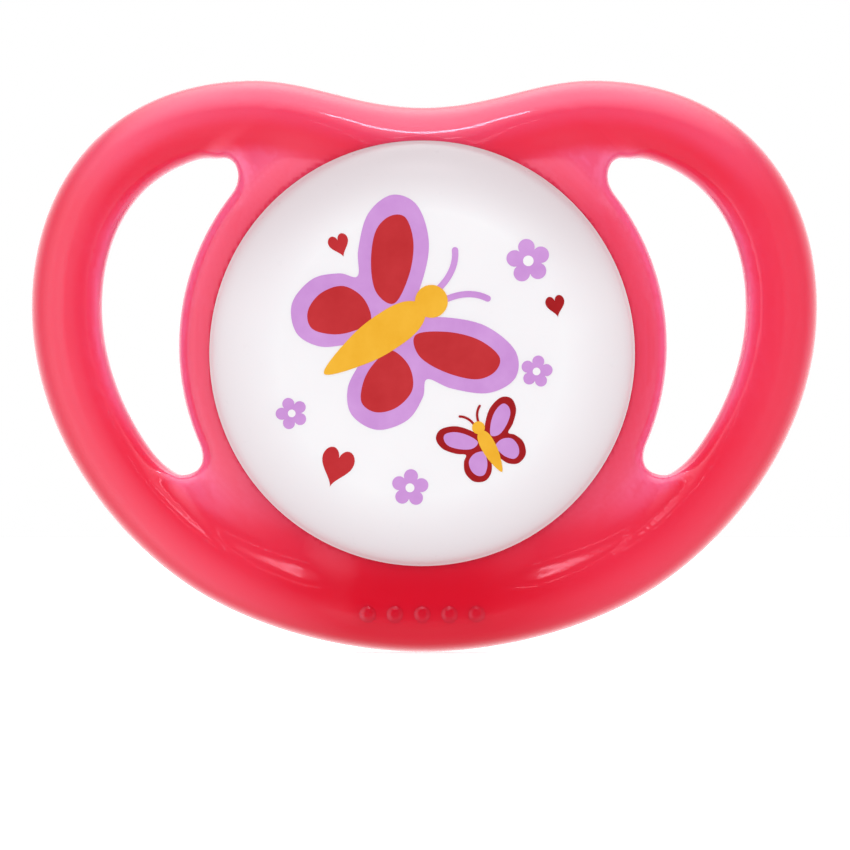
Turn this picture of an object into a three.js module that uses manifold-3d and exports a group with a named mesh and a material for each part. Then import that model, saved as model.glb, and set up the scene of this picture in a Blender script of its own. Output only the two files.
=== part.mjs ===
// Baby pacifier: a soft bean-shaped shield with two crescent openings, a snap-fit front cover,
// and a hollow silicone nipple held by a plug. Millimetres, +Z up.
// The nipple axis is Y: the cover faces -Y, the nipple points along +Y.
// The origin is the centre of the cover's flat front face.
import * as THREE from "three";
import { TessellateModifier } from "three/addons/modifiers/TessellateModifier.js";
import { mergeVertices } from "three/addons/utils/BufferGeometryUtils.js";
import Module from "manifold-3d";

// ---- driving dimensions ----
const GAP = 0.3; // clearance between neighbouring pieces

// Shield outline, right half: bottom, lower flank, widest point, lobe, top dip.
const BOTTOM_Z = -21.97;
const FLANK = { x: 17.84, z: -16.71, slope: 0.617 };
const SIDE = { x: 29.0, z: 3.46 };
const LOBE = { x: 12.48, z: 20.1 };
const DIP_Z = 18.08;

// Crescent openings
const HUB_R = 17.96; // the hub that carries the cover
const HUB_Z = 0.57;
const TIP_TOP = { x: 14.69, z: 14.5 };
const OPEN_SIDE = { x: 23.77, z: 3.66 };
const TIP_LOW = { x: 17.99, z: -8.97 };
const HUB_START = -0.408; // hub arc of the opening, radians up from +X
const HUB_END = 0.668;

// Shield section: a round rim all the way round, and a thinner hub plate that joins it behind the cover
const RIM_W = 5.3; // across the rim in the front view
const RIM_FRONT = 2.9; // front crest of the rim, before bending
const RIM_BACK = 8.7;
const RIM_ROUND = 2.35; // rounding of the rim across its width
const RIM_ROUND_Y = 2.6; // and along its depth
const HUB_FRONT = 4.5;
const HUB_BACK = 8.4;
const HUB_ROUND = 1.3;
const HUB_REACH = 3.4; // how far the hub plate runs past its circle, into the rim
const HUB_INSET = 1.2; // and how far it stays inside the outline
const HUB_MESH = 3.2; // longest edge of its faces, so that it can bend
const WRAP_R = 62; // the rim wraps round the face sideways
const TILT_R = 200; // and a little up and down
const HUB_WRAP = 0.5; // the hub wraps less than the rim
const LIP_Y = 3.6; // the hub's front at the cover's edge, from where it falls away outwards
const LIP_REACH = 2.8;
const LEVEL_START_Z = -8; // below the cover the hub's front comes nearly level with the rim's crest
const LEVEL_END_Z = -14;
const RIDGE_MIDDLE = 0.1; // how far it stays behind that crest, under the cover
const RIDGE_SIDE = 0.8; // and to either side
const RIDGE_RISE = 0.25; // and how much further behind at the cover's edge

// Seat, bore and back collar
const SEAT_FLOOR = 6.9;
const BORE_R = 5.6;
const COLLAR_R = 9.0;
const COLLAR_Y = 10.3;

// Front cover
const COVER_R = 15.5;
const COVER_FLAT_R = 10.6;
const COVER_EDGE_Y = 3.4;
const COVER_BACK = SEAT_FLOOR - GAP;
const COVER_WALL = 1.35;
const SNAP_Y = 6.15;
const SNAP_H = 0.2;

// Retaining plug
const PLUG_R = 8.0;
const PLUG_FRONT = 1.9;
const PLUG_BACK = 4.2;
const STEM_R = 3.3;
const STEM_END = 11.0;

// Nipple
const FLANGE_R = 9.0;
const FLANGE_FRONT = PLUG_BACK + GAP;
const FLANGE_BACK = SEAT_FLOOR - GAP;
const ROOT_R = BORE_R - GAP;
const ROOT_END = 12.6;
const NECK_R = 4.6;
const NECK_END = 19.1;
const BULB_START = NECK_END + GAP;
const BULB_R = 8.4;
const BULB_MID = 29.0;
const TIP_Y = 37.0;
const SILICONE_WALL = 1.5;
const BULB_FLATTEN = 0.24; // the bulb is flatter than wide

const SEGMENTS = 56; // round the cover and its seat

const wasm = await Module();
wasm.setup();

// ---- helpers ----
function toSolid(geometry) {
  const bare = new THREE.BufferGeometry();
  bare.setAttribute("position", geometry.getAttribute("position").clone());
  if (geometry.index) bare.setIndex(geometry.index.clone());
  const merged = mergeVertices(bare, 1e-3);
  const kept = [];
  const idx = merged.index.array;
  for (let i = 0; i < idx.length; i += 3) {
    const [a, b, c] = [idx[i], idx[i + 1], idx[i + 2]];
    if (a !== b && b !== c && c !== a) kept.push(a, b, c);
  }
  const solid = new wasm.Manifold(
    new wasm.Mesh({
      numProp: 3,
      vertProperties: merged.attributes.position.array,
      triVerts: new Uint32Array(kept),
    }),
  );
  if (solid.volume() > 0) return solid;
  const turned = [];
  for (let i = 0; i < kept.length; i += 3) turned.push(kept[i], kept[i + 2], kept[i + 1]);
  return new wasm.Manifold(
    new wasm.Mesh({
      numProp: 3,
      vertProperties: merged.attributes.position.array,
      triVerts: new Uint32Array(turned),
    }),
  );
}

function toGeometry(solid) {
  const mesh = solid.getMesh();
  const geometry = new THREE.BufferGeometry();
  geometry.setAttribute("position", new THREE.BufferAttribute(mesh.vertProperties, 3));
  geometry.setIndex(new THREE.BufferAttribute(mesh.triVerts, 1));
  return geometry;
}

function warp(geometry, move) {
  const p = geometry.getAttribute("position");
  const v = new THREE.Vector3();
  for (let i = 0; i < p.count; i += 1) {
    v.fromBufferAttribute(p, i);
    move(v);
    p.setXYZ(i, v.x, v.y, v.z);
  }
  p.needsUpdate = true;
  return geometry;
}

// A profile of [radius, y] points turned round the nipple axis.
function turned(points, segments = 40) {
  return new THREE.LatheGeometry(
    points.map(([r, y]) => new THREE.Vector2(r, y)),
    segments,
  );
}

// Points of a quarter round from angle a0 to a1 (degrees) about (r, y).
function round(r, y, radius, a0, a1, steps = 4) {
  return Array.from({ length: steps + 1 }, (_, i) => {
    const a = THREE.MathUtils.degToRad(a0 + ((a1 - a0) * i) / steps);
    return [r + radius * Math.cos(a), y + radius * Math.sin(a)];
  });
}

function bezier(p0, p1, p2, p3, steps) {
  const curve = new THREE.CubicBezierCurve(
    new THREE.Vector2(...p0),
    new THREE.Vector2(...p1),
    new THREE.Vector2(...p2),
    new THREE.Vector2(...p3),
  );
  return curve.getPoints(steps).map((p) => [p.x, p.y]);
}

function piece(name, geometry, colour, roughness, extra = {}) {
  const material = new THREE.MeshStandardMaterial({ color: colour, roughness, metalness: 0, ...extra });
  const flat = geometry.index ? geometry.toNonIndexed() : geometry;
  flat.computeVertexNormals();
  const mesh = new THREE.Mesh(flat, material);
  mesh.name = name;
  return mesh;
}

// ---- shield ----
// Half of the outline runs up the right side (s = 1) or down the left side (s = -1).
function outlineShape() {
  const shape = new THREE.Shape();
  const fx = Math.cos(FLANK.slope);
  const fz = Math.sin(FLANK.slope);
  const right = [
    [5.97, BOTTOM_Z, FLANK.x - 5.87 * fx, FLANK.z - 5.87 * fz, FLANK.x, FLANK.z],
    [FLANK.x + 7.3 * fx, FLANK.z + 7.3 * fz, SIDE.x, SIDE.z - 8.54, SIDE.x, SIDE.z],
    [SIDE.x, SIDE.z + 9.07, LOBE.x + 10.89, LOBE.z, LOBE.x, LOBE.z],
    [LOBE.x - 4.17, LOBE.z, 4.85, DIP_Z, 0, DIP_Z],
  ];
  shape.moveTo(0, BOTTOM_Z);
  for (const c of right) shape.bezierCurveTo(...c);
  for (let i = right.length - 1; i >= 0; i -= 1) {
    const c = right[i];
    const end = i > 0 ? [right[i - 1][4], right[i - 1][5]] : [0, BOTTOM_Z];
    shape.bezierCurveTo(-c[2], c[3], -c[0], c[1], -end[0], end[1]);
  }
  return shape;
}

// One crescent: s = 1 on the right, -1 on the left.
function crescent(s) {
  const onHub = (a) => [HUB_R * Math.cos(a), HUB_Z + HUB_R * Math.sin(a)];
  const along = (a) => [-Math.sin(a), Math.cos(a)];
  const [sx, sz] = onHub(HUB_START);
  const [ex, ez] = onHub(HUB_END);
  const [sux, suz] = along(HUB_START);
  const [eux, euz] = along(HUB_END);
  const path = new THREE.Path();
  path.moveTo(s * TIP_TOP.x, TIP_TOP.z);
  path.bezierCurveTo(
    s * (TIP_TOP.x + 5.47), TIP_TOP.z,
    s * OPEN_SIDE.x, OPEN_SIDE.z + 6.2,
    s * OPEN_SIDE.x, OPEN_SIDE.z,
  );
  path.bezierCurveTo(
    s * OPEN_SIDE.x, OPEN_SIDE.z - 6.73,
    s * (TIP_LOW.x + 1.12), TIP_LOW.z,
    s * TIP_LOW.x, TIP_LOW.z,
  );
  path.bezierCurveTo(
    s * (TIP_LOW.x - 1.56), TIP_LOW.z,
    s * (sx - 1.68 * sux), sz - 1.68 * suz,
    s * sx, sz,
  );
  const arcSteps = 8;
  for (let i = 1; i <= arcSteps; i += 1) {
    const [x, z] = onHub(HUB_START + ((HUB_END - HUB_START) * i) / arcSteps);
    path.lineTo(s * x, z);
  }
  path.bezierCurveTo(
    s * (ex + 1.71 * eux), ez + 1.71 * euz,
    s * (TIP_TOP.x - 0.81), TIP_TOP.z,
    s * TIP_TOP.x, TIP_TOP.z,
  );
  return path;
}

// The outline moved inwards by a distance, as points.
function inset(distance, count = 96) {
  const points = outlineShape().getSpacedPoints(count).slice(0, count);
  return points.map((p, i) => {
    const before = points[(i + count - 1) % count];
    const after = points[(i + 1) % count];
    const along = new THREE.Vector2().subVectors(after, before).normalize();
    return new THREE.Vector2(p.x - along.y * distance, p.y + along.x * distance);
  });
}

// A flat shape in X and Z, made solid from y = front to y = back with rounded edges.
function slab(shape, front, back, roundIn, roundY, curveSegments, bevelSegments) {
  const made = new THREE.ExtrudeGeometry(shape, {
    depth: back - front - 2 * roundY,
    curveSegments,
    bevelEnabled: true,
    bevelThickness: roundY,
    bevelSize: roundIn,
    bevelOffset: -roundIn,
    bevelSegments,
  });
  made.rotateX(Math.PI / 2);
  made.translate(0, back - roundY, 0);
  return made;
}

// How far the bent face lies back at a place.
function sag(x, z) {
  return (x * x) / (2 * WRAP_R) + (z * z) / (2 * TILT_R);
}

function rim() {
  const shape = new THREE.Shape(inset(0));
  shape.holes.push(new THREE.Path(inset(RIM_W)));
  const bend = (v) => {
    v.y += sag(v.x, v.z);
  };
  return toSolid(warp(slab(shape, RIM_FRONT, RIM_BACK, RIM_ROUND, RIM_ROUND_Y, 1, 4), bend));
}

// The hub plate's front face at a place.
function hubFront(x, z) {
  const { clamp, lerp, smoothstep } = THREE.MathUtils;
  const away = clamp((Math.hypot(x, z) - COVER_R) / LIP_REACH, 0, 1);
  const level = smoothstep(-z, -LEVEL_START_Z, -LEVEL_END_Z);
  const ridge = lerp(RIDGE_MIDDLE, RIDGE_SIDE, smoothstep(Math.abs(x), 4, 9));
  const belowRim = RIM_FRONT + sag(x, z) + ridge;
  const near = lerp(LIP_Y, belowRim + RIDGE_RISE, level);
  const far = lerp(HUB_FRONT + HUB_WRAP * sag(x, z), belowRim, level);
  return lerp(near, far, away);
}

function hub() {
  const shape = new THREE.Shape(inset(HUB_INSET));
  shape.holes.push(crescent(1), crescent(-1));
  const plate = slab(shape, HUB_FRONT, HUB_BACK, HUB_ROUND, HUB_ROUND, 6, 3);
  const reach = new THREE.CylinderGeometry(HUB_R + HUB_REACH, HUB_R + HUB_REACH, 30, 64);
  reach.translate(0, 0, HUB_Z);
  const trimmed = toGeometry(toSolid(plate).intersect(toSolid(reach)));
  const fine = new TessellateModifier(HUB_MESH, 14).modify(trimmed);
  const settle = (v) => {
    const share = (HUB_BACK - v.y) / (HUB_BACK - HUB_FRONT);
    v.y = THREE.MathUtils.lerp(HUB_BACK + HUB_WRAP * sag(v.x, v.z), hubFront(v.x, v.z), share);
  };
  return toSolid(warp(fine, settle));
}

const seat = toSolid(turned([
  [0, SEAT_FLOOR],
  [COVER_R + GAP, SEAT_FLOOR],
  [COVER_R + GAP, SNAP_Y + 2 * SNAP_H],
  [COVER_R + GAP + SNAP_H, SNAP_Y + SNAP_H],
  [COVER_R + GAP + SNAP_H, SNAP_Y - SNAP_H],
  [COVER_R + GAP, SNAP_Y - 2 * SNAP_H],
  [COVER_R + GAP, -5],
  [0, -5],
], SEGMENTS));

const collar = toSolid(turned([
  [0, SEAT_FLOOR + 0.6],
  [COLLAR_R + 1.2, SEAT_FLOOR + 0.6],
  ...round(COLLAR_R - 1.2, COLLAR_Y - 1.2, 1.2, 0, 90),
  [0, COLLAR_Y],
]));

const bore = toSolid(turned([
  [0, 0],
  [BORE_R, 0],
  [BORE_R, COLLAR_Y - 0.6],
  [BORE_R + 0.8, COLLAR_Y + 0.2],
  [BORE_R + 0.8, COLLAR_Y + 3],
  [0, COLLAR_Y + 3],
]));

const shield = rim().add(hub()).add(collar).subtract(seat).subtract(bore);

// ---- front cover ----
const shoulder = bezier(
  [COVER_FLAT_R, 0],
  [COVER_FLAT_R + 2.6, 0],
  [COVER_R, 1.5],
  [COVER_R, COVER_EDGE_Y],
  8,
);
const coverInner = COVER_R - COVER_WALL;
const cover = turned([
  [0, 0],
  ...shoulder,
  [COVER_R, SNAP_Y - 2 * SNAP_H],
  [COVER_R + SNAP_H, SNAP_Y],
  [COVER_R, SNAP_Y + 2 * SNAP_H],
  [COVER_R - 0.2, COVER_BACK],
  [coverInner, COVER_BACK],
  [coverInner, COVER_EDGE_Y + 0.8],
  ...bezier(
    [coverInner, COVER_EDGE_Y + 0.6],
    [coverInner, 2.2],
    [COVER_FLAT_R + 1.6, 1.5],
    [COVER_FLAT_R - 0.4, 1.5],
    3,
  ),
  [0, 1.5],
], SEGMENTS);

// ---- retaining plug ----
const plug = turned([
  [0, PLUG_FRONT],
  [PLUG_R - 0.5, PLUG_FRONT],
  [PLUG_R, PLUG_FRONT + 0.5],
  [PLUG_R, PLUG_BACK - 0.4],
  [PLUG_R - 0.4, PLUG_BACK],
  [STEM_R, PLUG_BACK],
  [STEM_R, STEM_END - 0.9],
  ...round(STEM_R - 0.9, STEM_END - 0.9, 0.9, 20, 90, 3),
  [0, STEM_END],
], 28);

// ---- nipple ----
const flatten = (v) => {
  v.z *= 1 - BULB_FLATTEN * THREE.MathUtils.smoothstep(v.y, BULB_START, BULB_MID - 3);
};
const innerRoot = STEM_R + GAP;

const nippleBase = turned([
  [innerRoot, FLANGE_FRONT],
  [FLANGE_R - 0.4, FLANGE_FRONT],
  [FLANGE_R, FLANGE_FRONT + 0.4],
  [FLANGE_R, FLANGE_BACK - 0.4],
  [FLANGE_R - 0.4, FLANGE_BACK],
  [ROOT_R, FLANGE_BACK],
  [ROOT_R, COLLAR_Y - 0.7],
  ...bezier([ROOT_R, COLLAR_Y - 0.4], [ROOT_R, COLLAR_Y + 0.7], [NECK_R, 11.4], [NECK_R, ROOT_END], 4),
  [innerRoot - 0.5, ROOT_END],
  [innerRoot - 0.3, STEM_END + 0.6],
  [innerRoot, STEM_END],
  [innerRoot, FLANGE_FRONT],
], 36);

const neckInner = NECK_R - SILICONE_WALL;
const nippleNeck = turned([
  [neckInner, ROOT_END + GAP],
  [NECK_R, ROOT_END + GAP],
  [NECK_R - 0.15, (ROOT_END + NECK_END) / 2],
  [NECK_R, NECK_END],
  [neckInner, NECK_END],
  [neckInner - 0.15, (ROOT_END + NECK_END) / 2],
  [neckInner, ROOT_END + GAP],
], 36);

const bulbInner = BULB_R - SILICONE_WALL;
const bulbEnd = TIP_Y - SILICONE_WALL;
const nippleBulb = warp(turned([
  [neckInner, BULB_START],
  [NECK_R, BULB_START],
  ...bezier([NECK_R, BULB_START + 0.6], [NECK_R, 22.6], [BULB_R, 23.4], [BULB_R, BULB_MID], 6),
  ...bezier([BULB_R, BULB_MID], [BULB_R, 33.4], [5.2, TIP_Y], [0, TIP_Y], 7).slice(1),
  ...bezier([0, bulbEnd], [4.2, bulbEnd], [bulbInner, 32.6], [bulbInner, BULB_MID], 5),
  ...bezier(
    [bulbInner, BULB_MID],
    [bulbInner, 24.2],
    [neckInner, 23.4],
    [neckInner, BULB_START + 0.6],
    4,
  ).slice(1),
  [neckInner, BULB_START],
], 36), flatten);

// ---- assembly ----
const object = new THREE.Group();
object.name = "pacifier";
const silicone = { transparent: true, opacity: 0.6 };
object.add(
  piece("shield", toGeometry(shield), 0xf4425f, 0.28),
  piece("front_cover", toGeometry(toSolid(cover)), 0xfbf8fb, 0.35),
  piece("retaining_plug", toGeometry(toSolid(plug)), 0xf3f0f1, 0.4),
  piece("nipple_base", toGeometry(toSolid(nippleBase)), 0xece7dc, 0.25, silicone),
  piece("nipple_neck", toGeometry(toSolid(nippleNeck)), 0xece7dc, 0.25, silicone),
  piece("nipple_bulb", toGeometry(toSolid(nippleBulb)), 0xece7dc, 0.25, silicone),
);

export default object;
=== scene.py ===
import math

import bpy
import bmesh
import numpy as np
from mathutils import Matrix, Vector
from mathutils.geometry import delaunay_2d_cdt


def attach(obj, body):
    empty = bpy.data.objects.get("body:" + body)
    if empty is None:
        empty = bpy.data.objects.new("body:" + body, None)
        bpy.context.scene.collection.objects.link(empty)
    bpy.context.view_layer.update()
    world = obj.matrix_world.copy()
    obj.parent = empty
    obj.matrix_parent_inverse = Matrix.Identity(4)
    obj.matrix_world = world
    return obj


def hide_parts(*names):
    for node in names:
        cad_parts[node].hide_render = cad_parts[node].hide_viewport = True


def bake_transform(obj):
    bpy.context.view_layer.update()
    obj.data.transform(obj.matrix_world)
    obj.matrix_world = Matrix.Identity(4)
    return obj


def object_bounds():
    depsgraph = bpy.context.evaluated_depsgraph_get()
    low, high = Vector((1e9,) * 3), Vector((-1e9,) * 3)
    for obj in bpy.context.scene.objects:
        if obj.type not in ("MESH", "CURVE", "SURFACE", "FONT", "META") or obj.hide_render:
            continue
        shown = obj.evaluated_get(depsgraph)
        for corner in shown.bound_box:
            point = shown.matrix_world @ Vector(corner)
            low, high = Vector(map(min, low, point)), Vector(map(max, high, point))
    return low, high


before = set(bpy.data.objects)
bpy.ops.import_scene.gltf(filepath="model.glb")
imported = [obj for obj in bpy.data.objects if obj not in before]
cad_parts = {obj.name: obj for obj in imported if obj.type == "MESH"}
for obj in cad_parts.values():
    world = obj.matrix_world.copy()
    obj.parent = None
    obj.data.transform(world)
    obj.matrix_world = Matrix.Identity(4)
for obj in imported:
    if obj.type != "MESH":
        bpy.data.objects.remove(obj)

cad_box = [list(corner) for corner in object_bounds()]
scene = bpy.context.scene
MM = 0.001

# ---- driving dimensions, millimetres, the same as the solids' ----
# the shield's outline in front view, right half, from the bottom up
BOTTOM_Z = -21.97
FLANK_X, FLANK_Z, FLANK_SLOPE = 17.84, -16.71, 0.617
SIDE_X, SIDE_Z = 29.0, 3.46
LOBE_X, LOBE_Z = 12.48, 20.1
DIP_Z = 18.08
# the crescent opening, between the hub's arc (start and end in radians) and the rim
HUB_R, HUB_Z = 17.96, 0.57
HUB_START, HUB_END = -0.408, 0.668
TIP_TOP_X, TIP_TOP_Z = 14.69, 14.5
OPEN_X, OPEN_Z = 23.77, 3.66
TIP_LOW_X, TIP_LOW_Z = 17.99, -8.97
# the shield's section; depths are from the cover's face, which is y = 0
RIM_W = 5.3
RIM_MID, RIM_HALF = 5.8, 2.9
HUB_FRONT, HUB_BACK = 4.5, 8.4
HUB_ROUND = 1.3
HUB_INSET = 1.2
WRAP_R, TILT_R = 62.0, 200.0
HUB_WRAP = 0.5
LIP_Y, LIP_REACH = 3.6, 2.8
LEVEL_START, LEVEL_END = -8.0, -14.0
RIDGE_MIDDLE, RIDGE_SIDE, RIDGE_RISE = 0.1, 0.8, 0.25
RIDGE_START, RIDGE_END = 4, 9
SEAT_FLOOR = 6.9
BORE_R = 5.6
COLLAR_R, COLLAR_Y, COLLAR_ROUND = 9.0, 10.3, 1.2
# the cover
COVER_R, COVER_FLAT_R, COVER_EDGE_Y = 15.5, 10.6, 3.4
COVER_BACK = 6.6
COVER_WALL, COVER_FACE_WALL = 1.35, 1.5
# the nipple's size, and how its bulb flattens
NECK_R = 4.6
WALL = 1.5
BULB_R, BULB_MID, TIP_Y = 8.4, 29.0, 37.0
FLATTEN, FLATTEN_START, FLATTEN_OVER = 0.24, 19.4, 6.6

# ---- the picture's own, where it is finer or closer-fitting than the solids ----
RIM_POWER = 2.1
FILLET_HUB, FILLET_COLLAR = 1.0, 1.3
PLATE_R, PLATE_FADE, PLATE_SHRINK = 20.3, 2.2, 1.5
SEAT_R, GROOVE_R, GROOVE_Y = 15.52, 15.85, 6.0
FLARE_Y, FLARE = 9.6, 1.1
# painted backlight glow: full where less plastic than this lies front to back, fading over the next
PAINTED_GLOW_WALL, PAINTED_GLOW_FADE = 3.6, 0.9
GRID_LOW, GRID_HIGH = (-30.2, 1.6, -23.2), (30.2, 14.9, 21.4)
CELL, QUICK_CELL = 0.34, 0.6
SEAM_Y = 16.0

# ---- camera and light ----
CAMERA_DISTANCE = 1.6
CAMERA_AZIMUTH = math.radians(1.0)
FRAME_WIDTH = 62.68 * MM
AMBIENT_BELOW, AMBIENT_ABOVE = 0.84, 1.0
GLOSS_FRONT, GLOSS_BACK, GLOSS_LEFT, GLOSS_RIGHT = 0.1, 0.25, 1.8, 0.5
GLOSS_ABOVE, GLOSS_BELOW, GLOSS_GRAZING = 3.8, 0.5, 1.1
STRIP_POWER, LOW_STRIP_POWER, SIDE_STRIP_POWER, FRONT_POWER = 0.003, 0.024, 0.008, 1.0
STRIP_PLACE, STRIP_SIZE = (0, -0.019, 0.048), (0.018, 0.0026)
LOW_STRIP_PLACE, LOW_STRIP_SIZE = (0, -0.33, 0.23), (0.07, 0.02)
SIDE_STRIP_X, SIDE_STRIP_Y, SIDE_STRIP_Z = 0.078, -0.457, 0.187
SIDE_STRIP_SIZE = (0.087, 0.004)
FRONT_PLACE, FRONT_SIZE = (0, -0.9, 0.2), (0.9, 0.7)
FLOOR_HALF = 1.6
AIM = Vector((0.0, 11.0 * MM, -5.27 * MM))
CAMERA_ASIDE = 0.08 * MM
SENSOR_WIDTH = 36


def make_camera():
    data = bpy.data.cameras.new("camera")
    camera = bpy.data.objects.new("camera", data)
    scene.collection.objects.link(camera)
    back = Vector((math.sin(CAMERA_AZIMUTH), -math.cos(CAMERA_AZIMUTH), 0))
    side = Vector((math.cos(CAMERA_AZIMUTH), math.sin(CAMERA_AZIMUTH), 0))
    camera.location = AIM + back * CAMERA_DISTANCE + side * CAMERA_ASIDE
    camera.rotation_mode = "QUATERNION"
    camera.rotation_quaternion = (-back).to_track_quat("-Z", "Y")
    data.sensor_width = SENSOR_WIDTH
    data.lens = SENSOR_WIDTH * CAMERA_DISTANCE / FRAME_WIDTH
    data.clip_start, data.clip_end = 0.01, 20
    scene.camera = camera


def area_light(name, place, target, size, power):
    data = bpy.data.lights.new(name, "AREA")
    data.shape = "RECTANGLE"
    data.size, data.size_y = size
    data.energy = power
    light = bpy.data.objects.new(name, data)
    light.location = place
    light.rotation_mode = "QUATERNION"
    light.rotation_quaternion = (Vector(target) - Vector(place)).to_track_quat("-Z", "Y")
    light.visible_camera = False
    scene.collection.objects.link(light)
    return light


def make_light():
    world = bpy.data.worlds.new("studio")
    scene.world = world
    world.use_nodes = True
    nodes, links = world.node_tree.nodes, world.node_tree.links
    nodes.clear()
    place = nodes.new("ShaderNodeTexCoord")
    split = nodes.new("ShaderNodeSeparateXYZ")
    links.new(place.outputs["Generated"], split.inputs[0])
    up, back, side = split.outputs["Z"], split.outputs["Y"], split.outputs["X"]

    def background(strength=None):
        made = nodes.new("ShaderNodeBackground")
        made.inputs["Color"].default_value = (1, 1, 1, 1)
        if strength is not None:
            links.new(strength, made.inputs["Strength"])
        return made.outputs[0]

    def combine(kind, a, b):
        made = nodes.new("ShaderNodeMath")
        made.operation = kind
        links.new(a, made.inputs[0])
        links.new(b, made.inputs[1])
        return made.outputs[0]

    # what lights the colour: nearly even all round
    even = map_range(nodes, links, up, (-0.9, 0.9), (AMBIENT_BELOW, AMBIENT_ABOVE))
    # what shows as gloss: dim in front, brighter at the sides and behind, brightest above
    ahead = map_range(nodes, links, back, (-0.98, 0.3), (GLOSS_FRONT, GLOSS_BACK))
    left = map_range(nodes, links, side, (-0.25, -0.85), (0.0, GLOSS_LEFT))
    right = map_range(nodes, links, side, (0.25, 0.85), (0.0, GLOSS_RIGHT))
    facing = map_range(nodes, links, back, (0.0, 0.5), (1.0, 0.0))
    sides = combine("MULTIPLY", combine("ADD", left, right), facing)
    above = map_range(nodes, links, up, (0.54, 0.92), (0.0, GLOSS_ABOVE))
    below = map_range(nodes, links, up, (0.0, -0.6), (0.0, GLOSS_BELOW))
    # and bright straight behind, which only the outermost edges mirror
    grazing = map_range(nodes, links, back, (0.35, 0.9), (0.0, GLOSS_GRAZING))
    gloss = combine("ADD", combine("ADD", ahead, sides), combine("ADD", below, above))
    gloss = combine("ADD", gloss, grazing)

    path = nodes.new("ShaderNodeLightPath")
    reflected = nodes.new("ShaderNodeMixShader")
    mirrored = combine("SUBTRACT", path.outputs["Is Glossy Ray"], path.outputs["Is Transmission Ray"])
    links.new(mirrored, reflected.inputs[0])
    links.new(background(even), reflected.inputs[1])
    links.new(background(gloss), reflected.inputs[2])
    seen = nodes.new("ShaderNodeMixShader")
    links.new(path.outputs["Is Camera Ray"], seen.inputs[0])
    links.new(reflected.outputs[0], seen.inputs[1])
    links.new(background(), seen.inputs[2])
    out = nodes.new("ShaderNodeOutputWorld")
    links.new(seen.outputs[0], out.inputs["Surface"])
    scene.view_settings.view_transform = "Standard"
    scene.view_settings.look = "None"

    # strips that show only as gloss: one close above draws the thin line along the rim's top,
    # the others the short lines low on the rim
    middle = (0, 0, 0)
    strips = [
        area_light("strip", STRIP_PLACE, (0, 0.004, 0.0), STRIP_SIZE, STRIP_POWER),
        area_light("low_strip", LOW_STRIP_PLACE, middle, LOW_STRIP_SIZE, LOW_STRIP_POWER),
    ]
    for name, x in (("left_strip", -SIDE_STRIP_X), ("right_strip", SIDE_STRIP_X)):
        place = (x, SIDE_STRIP_Y, SIDE_STRIP_Z)
        strips.append(area_light(name, place, middle, SIDE_STRIP_SIZE, SIDE_STRIP_POWER))
    for strip in strips:
        strip.visible_diffuse = False
    # and a wide fill that shows only as plain light
    fill = area_light("front_fill", FRONT_PLACE, middle, FRONT_SIZE, FRONT_POWER)
    fill.visible_glossy = False


def map_range(nodes, links, source, given, wanted, curve="LINEAR"):
    made = nodes.new("ShaderNodeMapRange")
    made.interpolation_type = curve
    made.inputs["From Min"].default_value, made.inputs["From Max"].default_value = given
    made.inputs["To Min"].default_value, made.inputs["To Max"].default_value = wanted
    links.new(source, made.inputs["Value"])
    return made.outputs["Result"]


def make_floor():
    mesh = bpy.data.meshes.new("floor")
    z = cad_box[0][2]
    corners = [(-1, -1), (1, -1), (1, 1), (-1, 1)]
    mesh.from_pydata([(x * FLOOR_HALF, y * FLOOR_HALF, z) for x, y in corners], [], [(0, 1, 2, 3)])
    floor = bpy.data.objects.new("floor", mesh)
    scene.collection.objects.link(floor)
    material, _, _, shader = new_material("floor")
    shader.inputs["Base Color"].default_value = (0.93, 0.93, 0.93, 1)
    shader.inputs["Roughness"].default_value = 0.3
    shader.inputs["Specular IOR Level"].default_value = 0.06
    shader.inputs["Emission Color"].default_value = (1, 1, 1, 1)
    shader.inputs["Emission Strength"].default_value = 0.45
    mesh.materials.append(material)
    floor.visible_diffuse = False
    floor.visible_shadow = False
    floor.visible_glossy = False


# ---- materials ----
def new_material(name):
    material = bpy.data.materials.new(name)
    material.use_nodes = True
    nodes, links = material.node_tree.nodes, material.node_tree.links
    return material, nodes, links, nodes["Principled BSDF"]


def srgb(r, g, b):
    def linear(c):
        c /= 255
        return c / 12.92 if c <= 0.04045 else ((c + 0.055) / 1.055) ** 2.4
    return (linear(r), linear(g), linear(b), 1.0)


def noise(nodes, links, scale, detail=3.0, rough=0.55):
    place = nodes.new("ShaderNodeTexCoord")
    made = nodes.new("ShaderNodeTexNoise")
    made.inputs["Scale"].default_value = scale
    made.inputs["Detail"].default_value = detail
    made.inputs["Roughness"].default_value = rough
    links.new(place.outputs["Object"], made.inputs["Vector"])
    return made


def ramp(nodes, links, source, stops):
    made = nodes.new("ShaderNodeValToRGB")
    elements = made.color_ramp.elements
    elements[0].position, elements[0].color = stops[0]
    elements[1].position, elements[1].color = stops[-1]
    for position, colour in stops[1:-1]:
        elements.new(position).color = colour
    links.new(source, made.inputs["Fac"])
    return made.outputs["Color"]


def product(nodes, links, first, second):
    made = nodes.new("ShaderNodeMath")
    made.operation = "MULTIPLY"
    links.new(first, made.inputs[0])
    links.new(second, made.inputs[1])
    return made.outputs[0]


def mix(nodes, links, share, first, second):
    """The first colour, a link, turned into the second, a value, by a share."""
    made = nodes.new("ShaderNodeMix")
    made.data_type = "RGBA"
    links.new(share, made.inputs["Factor"])
    links.new(first, made.inputs["A"])
    made.inputs["B"].default_value = second
    return made.outputs["Result"]


def spread(nodes, links, source, low, high):
    """A noise's usual range stretched to a wanted one."""
    return map_range(nodes, links, source, (0.3, 0.7), (low, high))


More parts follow.
